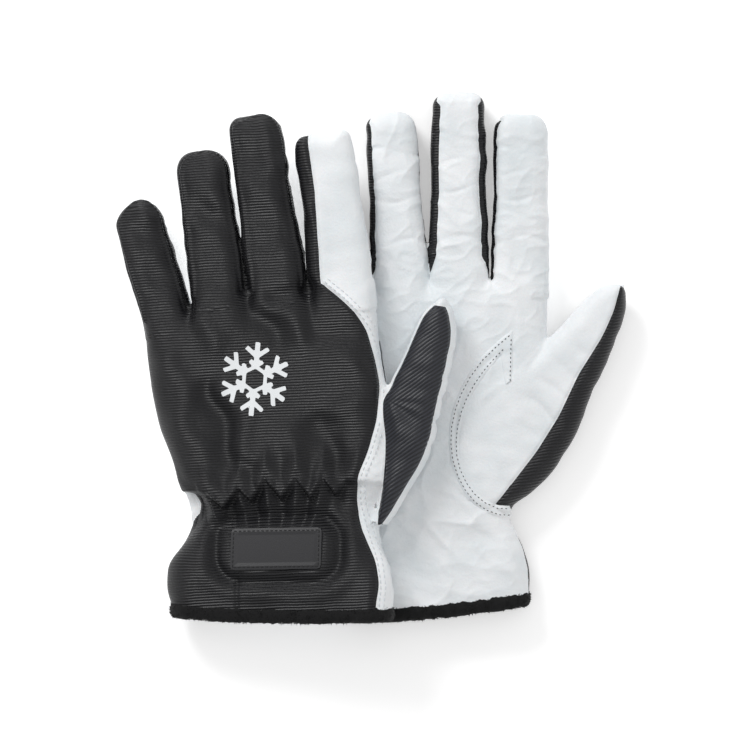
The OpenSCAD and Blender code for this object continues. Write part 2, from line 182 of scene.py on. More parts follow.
def in_finger(g, name, x, y):
    """Distance along a finger from its root, and across it."""
    fx, fy, lean, _, _ = g["fingers"][name]
    a = math.radians(lean)
    dx, dy = x - fx, y - fy
    return -dx * math.sin(a) + dy * math.cos(a), dx * math.cos(a) + dy * math.sin(a)


def in_thumb(g, x, y):
    tx, ty, turn, _ = g["thumb"]
    a = math.radians(turn)
    dx, dy = x - tx, y - ty
    return dx * math.cos(a) + dy * math.sin(a), dx * math.sin(a) - dy * math.cos(a)


def in_hinge(g, x, y):
    hx, hy, turn, _, _ = g["hinge"]
    a = math.radians(turn)
    dx, dy = x - hx, y - hy
    return dx * math.cos(a) + dy * math.sin(a), -dx * math.sin(a) + dy * math.cos(a)


def finger_inside(g, name, x, y):
    """Distance in from a finger's outline, which has a squarish round tip."""
    length, width = g["fingers"][name][3:]
    s, u = in_finger(g, name, x, y)
    half = width / 2 * (1 - 0.07 * np.clip((s - 25) / length, 0, 1) + 0.02 * np.sin(s / 6.5))
    # the base widens toward the crotches, so the gaps between fingers close in a point
    wide_left, wide_right = g["flare"][name]
    half = half + np.where(u < 0, wide_left, wide_right) * np.clip((40 - s) / 50, 0, 1) ** 1.2
    round_left, round_right = g["corner"][name]
    corner = half * np.where(u < 0, round_left, round_right)
    a, b = np.abs(u) - (half - corner), s - (length - corner)
    inside = corner - np.hypot(np.maximum(a, 0), np.maximum(b, 0)) - np.minimum(np.maximum(a, b), 0)
    return np.where(s > -20, inside, -9)


def hand_inside(g, x, y):
    left, right = curve(g["hand"], 1, y), curve(g["hand"], 2, y)
    top = curve(g["top"], 1, x)
    return smooth_min(smooth_min(x - left, right - x, 3), top - y, 4)


def thumb_inside(g, x, y):
    s, u = in_thumb(g, x, y)
    left, right = curve(g["leaf"], 1, s), curve(g["leaf"], 2, s)
    inside = smooth_min(u - left, right - u, 3)
    return np.where((s > g["leaf"][0][0]) & (s < g["leaf"][-1][0]), inside, -9)


def pillow(inside, z, half, edge, power=2.25):
    """Below zero inside a swollen shape of that half thickness."""
    q = np.maximum(edge - inside, 0)
    return ((q ** power + (np.abs(z) * edge / half) ** power) ** (1 / power) - edge) * half / edge


def thumb_height(g, x):
    """Middle plane of the thumb in the glove's own frame."""
    if g["side"] == "left":
        return -(x - g["hinge"][0]) * math.tan(TILT)
    return np.full_like(x, -2.6)


def hand_field(g, x, y, z):
    best = pillow(hand_inside(g, x, y), z, HAND_HALF, HAND_EDGE)
    for name in g["fingers"]:
        s, _ = in_finger(g, name, x, y)
        half = FINGER_HALF + 0.8 * np.clip(-s / 18, 0, 1)
        best = smooth_min(best, pillow(finger_inside(g, name, x, y), z, half, FINGER_EDGE), 1.6)
    return best


def thumb_field(g, x, y, z):
    return pillow(thumb_inside(g, x, y), z - thumb_height(g, x), THUMB_HALF, THUMB_EDGE)


def glove_field(g, x, y, z):
    return smooth_min(hand_field(g, x, y, z), thumb_field(g, x, y, z), 3.0)

# %% [markdown]
# ## From a distance to a surface
# The distances are worked out on a fine grid, and the grid is turned into a mesh of triangles.

# %% Meshing
def skin(g, depth=0.0, field=glove_field):
    """The surface that lies that depth under the outside of a field."""
    xs = [p[0] for p in g["fingers"].values()]
    low = np.array([min(xs) - 34, -134, -20.0])
    high = np.array([g["hand"][9][2] + (48 if g["side"] == "right" else 46), 143, 20.0])
    n = np.ceil((high - low) / VOXEL).astype(int)
    x, y, z = np.meshgrid(*(low[i] + np.arange(n[i]) * VOXEL for i in range(3)), indexing="ij", sparse=True)
    x, y = np.broadcast_arrays(x, y)
    best = field(g, x, y, z)
    grid = vdb.FloatGrid(6.0)
    grid.copyFromArray(np.clip(best + depth, -6, 6).astype(np.float32))
    points, tris, quads = grid.convertToPolygons(isovalue=0.0, adaptivity=0.0)
    faces = np.vstack([t for t in (tris, quads[:, [0, 1, 2]], quads[:, [0, 2, 3]])
                       if len(t)]).astype(np.int64)
    return points.astype(float) * VOXEL + low, faces


def normals_of(points, faces):
    a, b, c = (points[faces[:, i]] for i in range(3))
    n = np.cross(b - a, c - a)
    out = np.zeros_like(points)
    for i in range(3):
        np.add.at(out, faces[:, i], n)
    return out / np.maximum(np.linalg.norm(out, axis=1), 1e-12)[:, None]


def outward(points, faces):
    """Faces and normals turned to point out of a closed skin."""
    n = normals_of(points, faces)
    if ((points - points.mean(0)) * n).sum(1).mean() < 0:
        return faces[:, ::-1], -n
    return faces, n


def relax(points, faces, rounds=2):
    """Evens out the steps that the grid leaves."""
    e = np.vstack([faces[:, [0, 1]], faces[:, [1, 2]], faces[:, [2, 0]]])
    for sign in [0.5, -0.52] * rounds:
        total, count = np.zeros_like(points), np.zeros(len(points))
        np.add.at(total, e[:, 0], points[e[:, 1]])
        np.add.at(total, e[:, 1], points[e[:, 0]])
        np.add.at(count, e[:, 0], 1)
        np.add.at(count, e[:, 1], 1)
        points = points + sign * (total / np.maximum(count, 1)[:, None] - points)
    return points


def cut(data, faces, value):
    """Splits a mesh along the line where value is zero. Returns the part above and the part below."""
    value = np.where(np.abs(value) < 1e-6, 1e-6, value)
    up = value[faces] > 0
    count = up.sum(1)
    edges, mixed = {}, faces[(count == 1) | (count == 2)]
    extra, upper, lower = [], [faces[count == 3]], [faces[count == 0]]
    size = len(data)

    def crossing(i, j):
        key = (i, j) if i < j else (j, i)
        if key not in edges:
            t = value[key[0]] / (value[key[0]] - value[key[1]])
            extra.append(data[key[0]] * (1 - t) + data[key[1]] * t)
            edges[key] = size + len(extra) - 1
        return edges[key]

    top, bottom = [], []
    for f in mixed:
        f = [int(i) for i in f]
        lone_up = sum(value[i] > 0 for i in f) == 1
        k = next(q for q in range(3) if (value[f[q]] > 0) == lone_up)
        a, b, c = f[k], f[(k + 1) % 3], f[(k + 2) % 3]
        ab, ca = crossing(a, b), crossing(c, a)
        (top if lone_up else bottom).append((a, ab, ca))
        (bottom if lone_up else top).extend([(ab, b, c), (ab, c, ca)])
    everything = np.vstack([data] + ([np.array(extra)] if extra else []))
    result = []
    for whole, part in ((upper, top), (lower, bottom)):
        t = np.vstack(whole + ([np.array(part)] if part else [])).astype(np.int64)
        used, back = np.unique(t, return_inverse=True)
        result.append((everything[used], back.reshape(-1, 3)))
    return result

# %% [markdown]
# ## Seams, folds and creases
# Fields say where each fabric ends and where the skin dips or swells.

# %% Where the black fabric is
def black_field(g, x, y, z):
    """Above zero on the black fabric, below zero on the leather, about in millimetres."""
    shift = g["shift"]
    edge = curve(WRAP, 1, y) + shift
    left = g["side"] == "left"
    low = -2.0 + 9.0 * bump_at(y, -69, 8) * (x < shift - 84) if left else -0.5 + 0 * y
    out = np.minimum(edge - x, z - low)
    # where the side wall begins on the left and on the right of each finger
    splits = dict(middle=(-5.6, -5.0) if left else (-7.0, -6.6), ring=(-4.6, -4.2) if left else (-6.4, -1.0),
                  little=(-4.2, -4.2))
    for name, (on_left, on_right) in splits.items():
        s, u = in_finger(g, name, x, y)
        width, length = g["fingers"][name][4], g["fingers"][name][3]
        split = on_left + (on_right - on_left) * np.clip(u / width + 0.5, 0, 1)
        tip = np.clip((s - length + 7) / 6, 0, 1)
        split = split + (np.maximum(-0.6, split) - split) * ease(tip) * (g["side"] == "right")
        reach = np.clip((s + 14) / 16, 0, 1)
        inside = (np.abs(u) < width / 2 + 1.2) & (s > -14)
        out = np.where(inside, z - (low * (1 - reach) + split * reach), out)
    s, u = in_finger(g, "index", x, y)
    near_wall = (s > -13) & (z < 1) & (u < -6) & (g["side"] == "right")
    inside = (np.abs(u) < g["fingers"]["index"][4] / 2 + 1.6) & ((s > -4) | near_wall)
    if left:
        side_wall = np.minimum(-9.6 + 3.2 * np.clip(s / 42, 0, 1) - u, z + 4.6)
    else:
        side_wall = np.minimum(-10.0 - u, z + 4.4)
        # the fabric behind the thumb runs a little way onto the palm
        along_thumb, across = in_thumb(g, x, y)
        patch = np.minimum(across - 16.7, along_thumb + 10.5 - 0.02 * (across - 20) ** 2)
        patch = np.minimum(patch, np.minimum(4 - z, x - 58))
        out = np.where(y < -30, np.maximum(out, patch), out)
    side_wall = np.minimum(side_wall, g["fingers"]["index"][3] - (0.4 if left else 3.0) - s)
    return np.where(inside, side_wall, out)


def side_seam(g, x, y, z):
    """Zero on the seam between the back of a black finger and its side walls, large elsewhere."""
    out = np.full_like(x, 9.0)
    for name in ("middle", "ring", "little"):
        s, u = in_finger(g, name, x, y)
        width, length = g["fingers"][name][4], g["fingers"][name][3]
        here = (np.abs(u) < width / 2 + 1.5) & (s > -12)
        out = np.where(here, (z - 3.8 - 0.2 * np.maximum(-u, 0)) * 1.2, out)
    return out


def thumb_black(g, x, y, z):
    s, u = in_thumb(g, x, y)
    if g["side"] == "left":
        rise = z - thumb_height(g, x)
        rim = thumb_inside(g, x, y)
        return np.minimum(rise - 1.0, np.minimum(rim - 1.3, 99.5 - s))
    edge = curve([(-40, 16.7), (-15, 16.7), (0, 16.8), (24.6, 17.2), (45, 15.6), (68, 11), (90, 9.4),
                  (103, 6.6), (112, 3.4), (116, 1.2)], 1, s)
    return np.minimum(np.maximum(u - edge, z - 2.0), 117 - s)


def thumb_share(hand_distance, thumb_distance):
    """How much of the skin belongs to the thumb: 0 on the hand, 1 on the thumb."""
    return ease(np.clip((hand_distance - thumb_distance + 1.2) / 2.4, 0, 1))

# %% [markdown]
# Elastic draws the wrist in, so the fabric above it stands in folds and the cuff below it puffs out.

# %% Relief in millimetres, outward
# Long folds on the back of the hand: start, end, half width, height.
FOLDS = [(-18, 41, 6, 22, 3.2, 1.3), (-20, 40, -52, 33, 3.0, -1.2), (-56, 39, -24, 12, 4.6, 1.5),
         (-60, 36, -40, 8, 4.2, -1.4), (-84, 34, -74, 4, 4.0, 1.2), (-80, -6, -62, -54, 4.4, -1.9),
         (-72, -4, -54, -50, 5.0, 1.4), (2, 14, -4, -30, 8.0, 1.5), (-22, -22, -14, -56, 5.0, -1.4),
         (-30, 22, -2, 8, 4.4, -1.2), (-98, 10, -84, -48, 5.0, 1.3), (-8, -30, 4, -56, 5.0, 1.2),
         (-36, -26, -34, -54, 4.6, 1.0)]
# Creases across the leather of a thumb: place along it, depth, slant.
THUMB_CREASES = [(30, 0.7, 0.2), (42, 1.7, 0.05), (53, 1.1, -0.25), (66, 0.8, -0.1), (80, 0.6, 0.1)]


def along(x, y, x0, y0, x1, y1, width):
    """One on a straight fold, fading out to its sides and its ends."""
    length = math.hypot(x1 - x0, y1 - y0)
    dx, dy = (x1 - x0) / length, (y1 - y0) / length
    s, u = (x - x0) * dx + (y - y0) * dy, -(x - x0) * dy + (y - y0) * dx
    u = u + 0.06 * width * np.sin(s / 5.0) * width
    fade = np.clip(np.minimum(s + 4, length + 4 - s) / 12, 0, 1)
    return bump_at(u, 0, width) * ease(fade)


def relief(g, x, y, z, black, thumb, t_black):
    """thumb is the share of the thumb's own folds, from 0 to 1."""
    back = np.clip(z / 4, 0, 1)
    palm = np.clip(-z / 4, 0, 1)
    shift = g["shift"]
    lx = x - shift
    is_black = black > 0
    out = 0.5 * waves(3, x, y, 42)
    over_black = back * np.clip(black / 4, 0, 1)
    for x0, y0, x1, y1, width, height in FOLDS:
        out += over_black * 1.2 * height * along(lx, y, x0, y0, x1, y1, 1.35 * width)
    out += over_black * 0.9 * waves(4, lx, y, 38)
    # gathers over the elastic on the back: a toothed edge where the puffed hand drops to the wrist
    teeth = np.array([(-112, -66), (-90, -65), (-79, -65), (-70, -73), (-62.5, -63), (-56, -69.5), (-49, -58),
                      (-41, -68), (-33, -57.5), (-26, -68), (-19.5, -57), (-13.5, -66), (-8, -59), (8, -60)],
                     float)
    edge = np.interp(lx, teeth[:, 0], teeth[:, 1])
    over = ease(np.clip((y - edge) / 3.0, 0, 1))
    out += back * (-4.4 * (1 - over) * bump_at(y, -70, 11) + 1.9 * over * bump_at(y, edge + 7, 8) + 2.0
                   * bump_at(y, -103, 13))
    for px, py in ((-62.5, -63), (-49, -58), (-33, -57.5), (-19.5, -57), (-79, -65)):
        lean = px + (py - y) * (-42 - px) * 0.012
        ridge = np.clip(1 - np.abs(lx - lean) / 5.6, 0, 1) * np.clip((py + 3 - y) / 4, 0, 1)
        out += back * 3.3 * ridge * np.clip((y + 86) / 12, 0, 1)
        out += back * 1.1 * bump_at(lx, px, 5.0) * bump_at(y, py + 9, 12)
    out += back * 0.35 * waves(13, lx, y * 0.35, 13) * bump_at(y, -80, 14)
    # channel round the label, and the side seam of the cuff below it
    label = np.hypot(np.maximum(np.abs(lx + 43) - 17, 0) / 1.15, np.maximum(np.abs(y + 91) - 4, 0)) - 12
    out += back * (-1.9 * bump_at(label, 0.5, 2.8) + 1.0 * np.clip(-label / 5, 0, 1) + 0.9
                   * bump_at(label, 7, 4.0))
    out += back * -0.7 * bump_at(lx, -63.5, 0.9) * np.clip((-102 - y) / 4, 0, 1)
    # cuff pleats
    out += 0.9 * waves(11, x, y * 0.25, 21) * bump_at(y, -106, 14)
    # palm leather: drawn wrist, soft folds across, creases toward the cuff
    folds = 1 - np.abs(waves(21, x * 0.55, y + 0.25 * x, 24))
    out += palm * (1.3 * folds ** 4 * bump_at(y, -80, 24) - 1.5 * bump_at(y, -84, 7)
                   * (0.3 + 0.7 * waves(5, x, y, 36)))
    out += palm * 0.6 * (1 - np.abs(waves(31, x, y, 30))) ** 6
    out += palm * (0.3 + 0.3 * bump_at(y, 46, 26)) * (1 - np.abs(waves(32, x * 0.6, y, 11))) ** 5
    # the leather over the base of the thumb swells out of its seam
    cx, cy = g["hinge"][0] + 4.0, g["hinge"][1] + 8.0
    spot = np.hypot((x - cx) / 30, (y - cy) / 42)
    right_palm = palm * (g["side"] == "right")
    out += right_palm * (1.3 * np.clip(1 - spot, 0, 1) ** 0.7 - 0.6 * bump_at(spot, 1.0, 0.05) * (x < cx))
    out += right_palm * (-1.5 * along(x, y, 72, -13, 64, -46, 2.6) + 0.8 * along(x, y, 66, -10, 58, -40, 4.0))
    # fine puckers of the leather beside the back fabric
    out += back * 0.3 * waves(33, x + 0.5 * y, y - 0.5 * x, 6) * bump_at(black, -6, 5) * bump_at(y, -52, 26)
    for name in ("index", "middle", "ring", "little"):
        s, u = in_finger(g, name, x, y)
        half = g["fingers"][name][4] / 2
        out += back * -0.9 * bump_at(np.abs(u), half + 1.5, 3.0) * bump_at(s, -14, 10)
        length = g["fingers"][name][3]
        crease = 0
        for k, at in enumerate((0.12, 0.3, 0.43, 0.58, 0.74)):
            bend = at * length + 2.4 * np.sin(u / 6 + k * 2.1 + half)
            deep = (0.5 if k % 2 else 0.85) * (0.65 + 0.35 * np.sin(u / 4 + k))
            crease = crease + deep * bump_at(s, bend, 1.1)
        on_finger = (np.abs(u) < half + 2.4) & (s > 2)
        fade = np.clip(s / 8, 0, 1) * np.clip((half + 2.4 - np.abs(u)) / 2, 0, 1)
        out += np.where(on_finger, (palm * -0.7 * crease + 0.35 * waves(41, s, u * 0.5, 15)) * fade, 0)
        # slanting drapes on the back of a fabric finger
        drape = waves(int(half * 7), s + 0.8 * u, u * 0.6, 24)
        out += np.where(on_finger, over_black * 1.3 * drape * fade * np.clip((half - np.abs(u)) / 5, 0, 1), 0)
    # fabric on fingers ripples across
    out += np.where(is_black & (y > 30), 0.3 * waves(51, x * 0.5, y, 13), 0)
    piping = side_seam(g, x, y, z)
    out += (0.95 * bump_at(piping, 1.2, 1.0) - 0.9 * bump_at(piping, -0.9, 0.9)) * is_black
    # seams dip
    out -= 0.75 * bump_at(black, 0, 1.0) * (y > -121)
    out += 0.28 * bump_at(black, -2.6, 1.4) * (y > -121)
    # fold where the index leather turns down beside the snowflake
    out += back * -0.8 * bump_at(black, 8.5, 2.4) * bump_at(y, -62, 16)
    # the thumb: long soft folds, creases across the leather, a fan of folds on the back of the left leaf
    own = 0.5 * waves(61, x, y, 26) + 0.25 * waves(62, x, y, 12) - 0.75 * bump_at(t_black, 0, 1.0)
    s, u = in_thumb(g, x, y)
    for k, (at, deep, slant) in enumerate(THUMB_CREASES):
        crease = bump_at(s + slant * u, at + 2.0 * np.sin(u / 6 + k), 2.2) * bump_at(u, 9 - k, 9)
        own += np.where(t_black < 0, -deep * crease, 0)
    fx, fy = (12.5, -17) if g["side"] == "left" else (80, -20)
    turn, reach = np.arctan2(y - fy, x - fx), np.hypot(x - fx, y - fy)
    fan = 0.42 * np.sin(turn * 10 + 1.7 * np.sin(turn * 3)) * bump_at(reach, 15, 12)
    own += np.where(t_black > 0, fan * bump_at(turn, -0.9, 0.9) * np.clip(t_black / 3, 0, 1), 0)
    return out * (1 - thumb) + own * thumb

# %% [markdown]
# ## Materials
# Colours are given as sRGB hex and turned to linear light by one function. Roughness, sheen and index of
# refraction are typical of the real material. Pattern scales come from real sizes: leather grain is
# about a millimetre, and the ribs of the knit stand 1.4 mm apart.

# %% Material helpers
def colour(code, gain=1.0):
    c = [int(code[i:i + 2], 16) / 255 for i in (1, 3, 5)]
    return tuple(gain * (v / 12.92 if v <= 0.04045 else ((v + 0.055) / 1.055) ** 2.4) for v in c) + (1.0,)


def add(tree, kind, settings=(), links=(), **inputs):
    """Adds a node with its properties, its constants and its incoming links."""
    node = tree.nodes.new(kind)
    for key, value in dict(settings).items():
        setattr(node, key, value)
    for key, value in inputs.items():
        node.inputs[key.replace("_", " ")].default_value = value
    for key, source in dict(links).items():
        tree.links.new(source, node.inputs[key])
    return node


def two_tone(tree, shader, factor, low, high):
    """Colours the shader between two tones, each a position and a colour."""
    ramp = add(tree, "ShaderNodeValToRGB", {}, {"Fac": factor})
    for element, (position, code) in zip(ramp.color_ramp.elements, (low, high)):
        element.position, element.color = position, colour(code)
    tree.links.new(ramp.outputs["Color"], shader.inputs["Base Color"])


def raise_grain(tree, shader, height, strength, distance):
    bump = add(tree, "ShaderNodeBump", {}, {"Height": height}, Strength=strength, Distance=distance)
    tree.links.new(bump.outputs["Normal"], shader.inputs["Normal"])


def blank(name):
    mat = bpy.data.materials.new(name)
    mat.use_nodes = True
    return mat, mat.node_tree, mat.node_tree.nodes["Principled BSDF"]


def leather_material():
    """White goatskin: matt, finely grained, a little translucent at the folds."""
    mat, tree, shader = blank("white_leather")
    rest = add(tree, "ShaderNodeAttribute", {"attribute_name": "rest"})
    grain = add(tree, "ShaderNodeTexVoronoi", {"feature": "F1"}, {"Vector": rest.outputs["Vector"]},
                Scale=900.0)
    fine = add(tree, "ShaderNodeTexNoise", {}, {"Vector": rest.outputs["Vector"]}, Scale=420.0, Detail=5.0,
               Roughness=0.62)
    broad = add(tree, "ShaderNodeTexNoise", {}, {"Vector": rest.outputs["Vector"]}, Scale=32.0, Detail=4.0,
                Roughness=0.55)
    two_tone(tree, shader, broad.outputs["Fac"], (0.3, "#DCE2E5"), (0.62, "#EEF0F2"))
    mix = add(tree, "ShaderNodeMath", {"operation": "MULTIPLY_ADD"},
              {0: grain.outputs["Distance"], 2: fine.outputs["Fac"]})
    mix.inputs[1].default_value = 0.5
    raise_grain(tree, shader, mix.outputs[0], 0.6, 0.0003)
    shader.inputs["Roughness"].default_value = 0.52
    shader.inputs["IOR"].default_value = 1.48
    shader.inputs["Subsurface Weight"].default_value = 0.06
    shader.inputs["Subsurface Radius"].default_value = (0.0015, 0.001, 0.0008)
    return mat


def rib_material(name, dark, light, gap, depth):
    """Ribbed polyester knit: lines a set distance apart, matt with a soft sheen at grazing angles."""
    mat, tree, shader = blank(name)
    ribs = add(tree, "ShaderNodeAttribute", {"attribute_name": "ribs"})
    rest = add(tree, "ShaderNodeAttribute", {"attribute_name": "rest"})
    wander = add(tree, "ShaderNodeTexNoise", {}, {"Vector": rest.outputs["Vector"]}, Scale=60.0, Detail=3.0)
    sway = add(tree, "ShaderNodeMath", {"operation": "MULTIPLY_ADD"},
               {0: wander.outputs["Fac"], 2: ribs.outputs["Fac"]})
    sway.inputs[1].default_value = 0.0016
    turn = add(tree, "ShaderNodeMath", {"operation": "MULTIPLY"}, {0: sway.outputs[0]})
    turn.inputs[1].default_value = 2 * math.pi / gap
    wave = add(tree, "ShaderNodeMath", {"operation": "SINE"}, {0: turn.outputs[0]})
    lift = add(tree, "ShaderNodeMath", {"operation": "MULTIPLY_ADD"}, {0: wave.outputs[0]})
    lift.inputs[1].default_value, lift.inputs[2].default_value = 0.5, 0.5
    threads = add(tree, "ShaderNodeTexNoise", {}, {"Vector": rest.outputs["Vector"]}, Scale=1500.0,
                  Detail=2.0)
    height = add(tree, "ShaderNodeMath", {"operation": "MULTIPLY_ADD"},
                 {0: threads.outputs["Fac"], 2: lift.outputs[0]})
    height.inputs[1].default_value = 0.35
    # painted shade and painted highlight: the colour follows the rib height, the dark tone in the grooves and
    # the light tone on the rib tops
    two_tone(tree, shader, height.outputs[0], (0.15, dark), (1.0, light))
    raise_grain(tree, shader, height.outputs[0], 0.8, depth)
    shader.inputs["Roughness"].default_value = 0.41
    shader.inputs["Specular IOR Level"].default_value = 0.42
    shader.inputs["Sheen Weight"].default_value = 0.05
    shader.inputs["Sheen Roughness"].default_value = 0.35
    return mat


def plain_material(name, code, roughness, grain=0.0, scale=800.0, sheen=0.0):
    mat, tree, shader = blank(name)
    shader.inputs["Base Color"].default_value = colour(code)
    shader.inputs["Roughness"].default_value = roughness
    shader.inputs["Sheen Weight"].default_value = sheen
    if grain:
        where = add(tree, "ShaderNodeTexCoord")
        noise = add(tree, "ShaderNodeTexNoise", {}, {"Vector": where.outputs["Object"]}, Scale=scale,
                    Detail=4.0)
        raise_grain(tree, shader, noise.outputs["Fac"], 0.6, grain)
    return mat


LEATHER = leather_material()
# for each knit the first colour is painted shade in the rib grooves and the second is painted highlight on
# the rib tops
FABRIC = rib_material("black_ribbed_knit", "#030304", "#18181C", 0.0014, 0.00042)
LEAF = rib_material("charcoal_ribbed_knit", "#0E0F12", "#2A2C34", 0.0016, 0.0003)
PILE = plain_material("black_pile", "#050506", 0.95, 0.0008, 700.0, 0.05)
THREAD = plain_material("white_thread", "#D9DDE0", 0.6, 0.0001, 2500.0)
DARK_THREAD = plain_material("black_thread", "#161618", 0.6, 0.0001, 2500.0)
LABEL = plain_material("label_rubber", "#242427", 0.42, 0.00006, 1800.0)
PRINT = plain_material("print_ink", "#E9ECEE", 0.45, 0.00005, 1500.0)
print("materials:", len(bpy.data.materials))

# %% [markdown]
# ## Pieces
# A piece is one panel of one glove. It keeps its flat pattern position as the attribute "rest", and the
# distance across the ribs as "ribs", so a pattern stays put when the panel bends.

# %% Placing and making pieces
def to_frame(g, p):
    """From a glove's own millimetres to the frame's metres."""
    x, y, z = p[:, 0], p[:, 1], p[:, 2]
    if g["side"] == "left":
        c, s = math.cos(TILT), math.sin(TILT)
        out = np.stack([x * c - z * s - CENTRE[0], y - CENTRE[1], x * s + z * c + UPPER_Z], 1)
    else:
        out = np.stack([x - CENTRE[0], y - CENTRE[1], LOWER_Z - z], 1)
    # a soft glove lies flat where it meets the table
    out[:, 2] = 0.1 + np.logaddexp(0, (out[:, 2] - 0.1) * 2.2) / 2.2
    return out * MM


def turn_to_frame(g, n):
    if g["side"] == "left":
        c, s = math.cos(TILT), math.sin(TILT)
        return np.stack([n[:, 0] * c - n[:, 2] * s, n[:, 1], n[:, 0] * s + n[:, 2] * c], 1)
    return n * [1, 1, -1]


def place(mesh, name, material, slot, nodes):
    """Puts a mesh in the scene with its material and hides the CAD nodes that it stands in for. slot is not
    used.
    """
    mesh.materials.append(material)
    obj = bpy.data.objects.new(name, mesh)
    bpy.context.scene.collection.objects.link(obj)
    if nodes:
        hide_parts(*nodes)
    return obj


def piece(g, name, data, faces, material, slot, nodes):
    """data holds position, normal and ribs for each point."""
    if g["side"] == "right":
        faces = faces[:, ::-1]
    mesh = bpy.data.meshes.new(name)
    mesh.from_pydata(to_frame(g, data[:, :3]), [], faces.tolist())
    mesh.polygons.foreach_set("use_smooth", np.ones(len(faces), bool))
    rest = mesh.attributes.new("rest", "FLOAT_VECTOR", "POINT")
    rest.data.foreach_set("vector", (data[:, :3] * MM).astype(np.float32).ravel())
    ribs = mesh.attributes.new("ribs", "FLOAT", "POINT")
    ribs.data.foreach_set("value", (data[:, 6] * MM).astype(np.float32))
    n = turn_to_frame(g, data[:, 3:6])
    mesh.normals_split_custom_set_from_vertices(n / np.maximum(np.linalg.norm(n, axis=1), 1e-9)[:, None])
    return place(mesh, name, material, slot, nodes)


def solid(g, name, points, faces, material, slot, nodes, smooth=True):
    """A small closed piece given in the glove's own millimetres."""
    mesh = bpy.data.meshes.new(name)
    turn = -1 if g["side"] == "right" else 1
    mesh.from_pydata(to_frame(g, points), [], [tuple(f)[::turn] for f in faces])
    mesh.polygons.foreach_set("use_smooth", np.full(len(mesh.polygons), smooth))
    return place(mesh, name, material, slot, nodes)


def bend(g, obj, part):
    """Works out two points of a finger or thumb from its root and bakes the panel's placement into its mesh.
    It neither bends the panel nor attaches it to a body.
    """
    if part == "thumb":
        hx, hy, turn, _, _ = g["hinge"]
        a = math.radians(turn)
        ends = [(hx + d * math.cos(a), hy + d * math.sin(a), 0.0) for d in (0.0, 15.0)]
    else:
        fx, fy, lean, _, _ = g["fingers"][part]
        a = math.radians(lean)
        ends = [(fx - d * math.sin(a), fy + d * math.cos(a), 0.0) for d in (1.0, 21.0)]
    start, end = to_frame(g, np.array(ends))
    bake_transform(obj)

# %% [markdown]
# ## Stitches
# Each stitch is a short rounded bar of thread pressed into the skin along a seam.

# %% Stitch rows
def arc_length(path):
    """The distance along a path at each of its points."""
    return np.concatenate([[0], np.cumsum(np.linalg.norm(np.diff(path, axis=0), axis=1))])


def sample(path, length, at):
    """The points of a path where its running length is at."""
    return np.stack([np.interp(at, length, path[:, k]) for k in range(path.shape[1])], 1)


def spread(path, gap):
    """Points at an even spacing along a path, and its direction there."""
    path = np.array(path, float)
    length = arc_length(path)
    at = np.arange(gap / 2, length[-1], gap)
    d = sample(path, length, at + 0.5) - sample(path, length, at - 0.5)
    return sample(path, length, at), d / np.maximum(np.linalg.norm(d, axis=1), 1e-9)[:, None]


def surface(tree, x, y, face):
    """The skin under a point: height and normal, on the back (1) or the palm (-1)."""
    hit, normal, _, _ = tree.ray_cast(Vector((x, y, 60.0 * face)), Vector((0, 0, -face)))
    return (hit, normal if normal.z * face > 0 else -normal) if hit else (None, None)


# Rings of a stitch from end to end: share of its length, share of its thickness.
STITCH = [(-0.5, 0.45), (-0.36, 0.9), (0, 1.0), (0.36, 0.9), (0.5, 0.45)]


def stitches(g, name, tree, paths, face, material, slot, gap=3.1, long=2.1, fat=0.3, sunk=0.02):
    points, faces = [], []
    for path in paths:
        for (x, y), (dx, dy) in zip(*spread(path, gap)):
            hit, n = surface(tree, x, y, face)
            if hit is None or abs(n.z) < 0.25:
                continue
            t = Vector((dx, dy, 0))
            t = (t - n * t.dot(n)).normalized()
            b = n.cross(t)
            base = len(points)
            for k, (share, size) in enumerate(STITCH):
                for q in range(6):
                    a = q * math.pi / 3
                    bow = fat * (0.75 - 2.6 * share * share)
                    ring = (b * math.cos(a) + n * math.sin(a)) * fat * size
                    points.append(tuple(hit + n * (bow - sunk) + t * share * long + ring))
                    if k:
                        lower, upper = base + (k - 1) * 6, base + k * 6
                        faces.append((lower + q, lower + (q + 1) % 6, upper + (q + 1) % 6, upper + q))
            faces.append(tuple(base + 5 - q for q in range(6)))
            faces.append(tuple(base + 24 + q for q in range(6)))
    return solid(g, name, np.array(points), faces, material, slot, [])

# %% [markdown]
# ## Building a glove
# The skin is made once, shaped by the relief, opened at the hem and then cut along its seams. Small walls
# close the root of the thumb, and a lining shows inside the cuff.

# %% Hem and trims
def hem_line(g, x):
    if g["side"] == "left":
        return -122.3 + 2.6 * np.clip((-46 - x) / 52, 0, 1) ** 2 + 1.2 * np.clip((x + 20) / 33, 0, 1)
    return -122.5 + 8.0 * np.clip((x - 2) / 78, 0, 1) ** 1.6


def hem_loop(g, data, count=220):
    """The open edge of the skin as an evenly spaced closed loop."""
    p = data[:, :3]
    near = np.abs(p[:, 1] - hem_line(g, p[:, 0])) < 0.8
    q = p[near]
    middle = (q.min(0) + q.max(0)) / 2
    half = (q.max(0) - q.min(0)) / 2
    angle = np.arctan2((q[:, 2] - middle[2]) / half[2], (q[:, 0] - middle[0]) / half[0])
    order = np.argsort(angle)
    q, angle = q[order], angle[order]
    wide = np.concatenate([angle - 2 * np.pi, angle, angle + 2 * np.pi])
    at = np.linspace(-np.pi, np.pi, count * 6, endpoint=False)
    ring = sample(np.tile(q, (3, 1)), wide, at)
    closed = np.vstack([ring, ring[:1]])
    length = arc_length(closed)
    ring = sample(closed, length, np.linspace(0, length[-1], count, endpoint=False))
    for _ in range(4):
        ring = (np.roll(ring, 1, 0) + 2 * ring + np.roll(ring, -1, 0)) / 4
    return ring


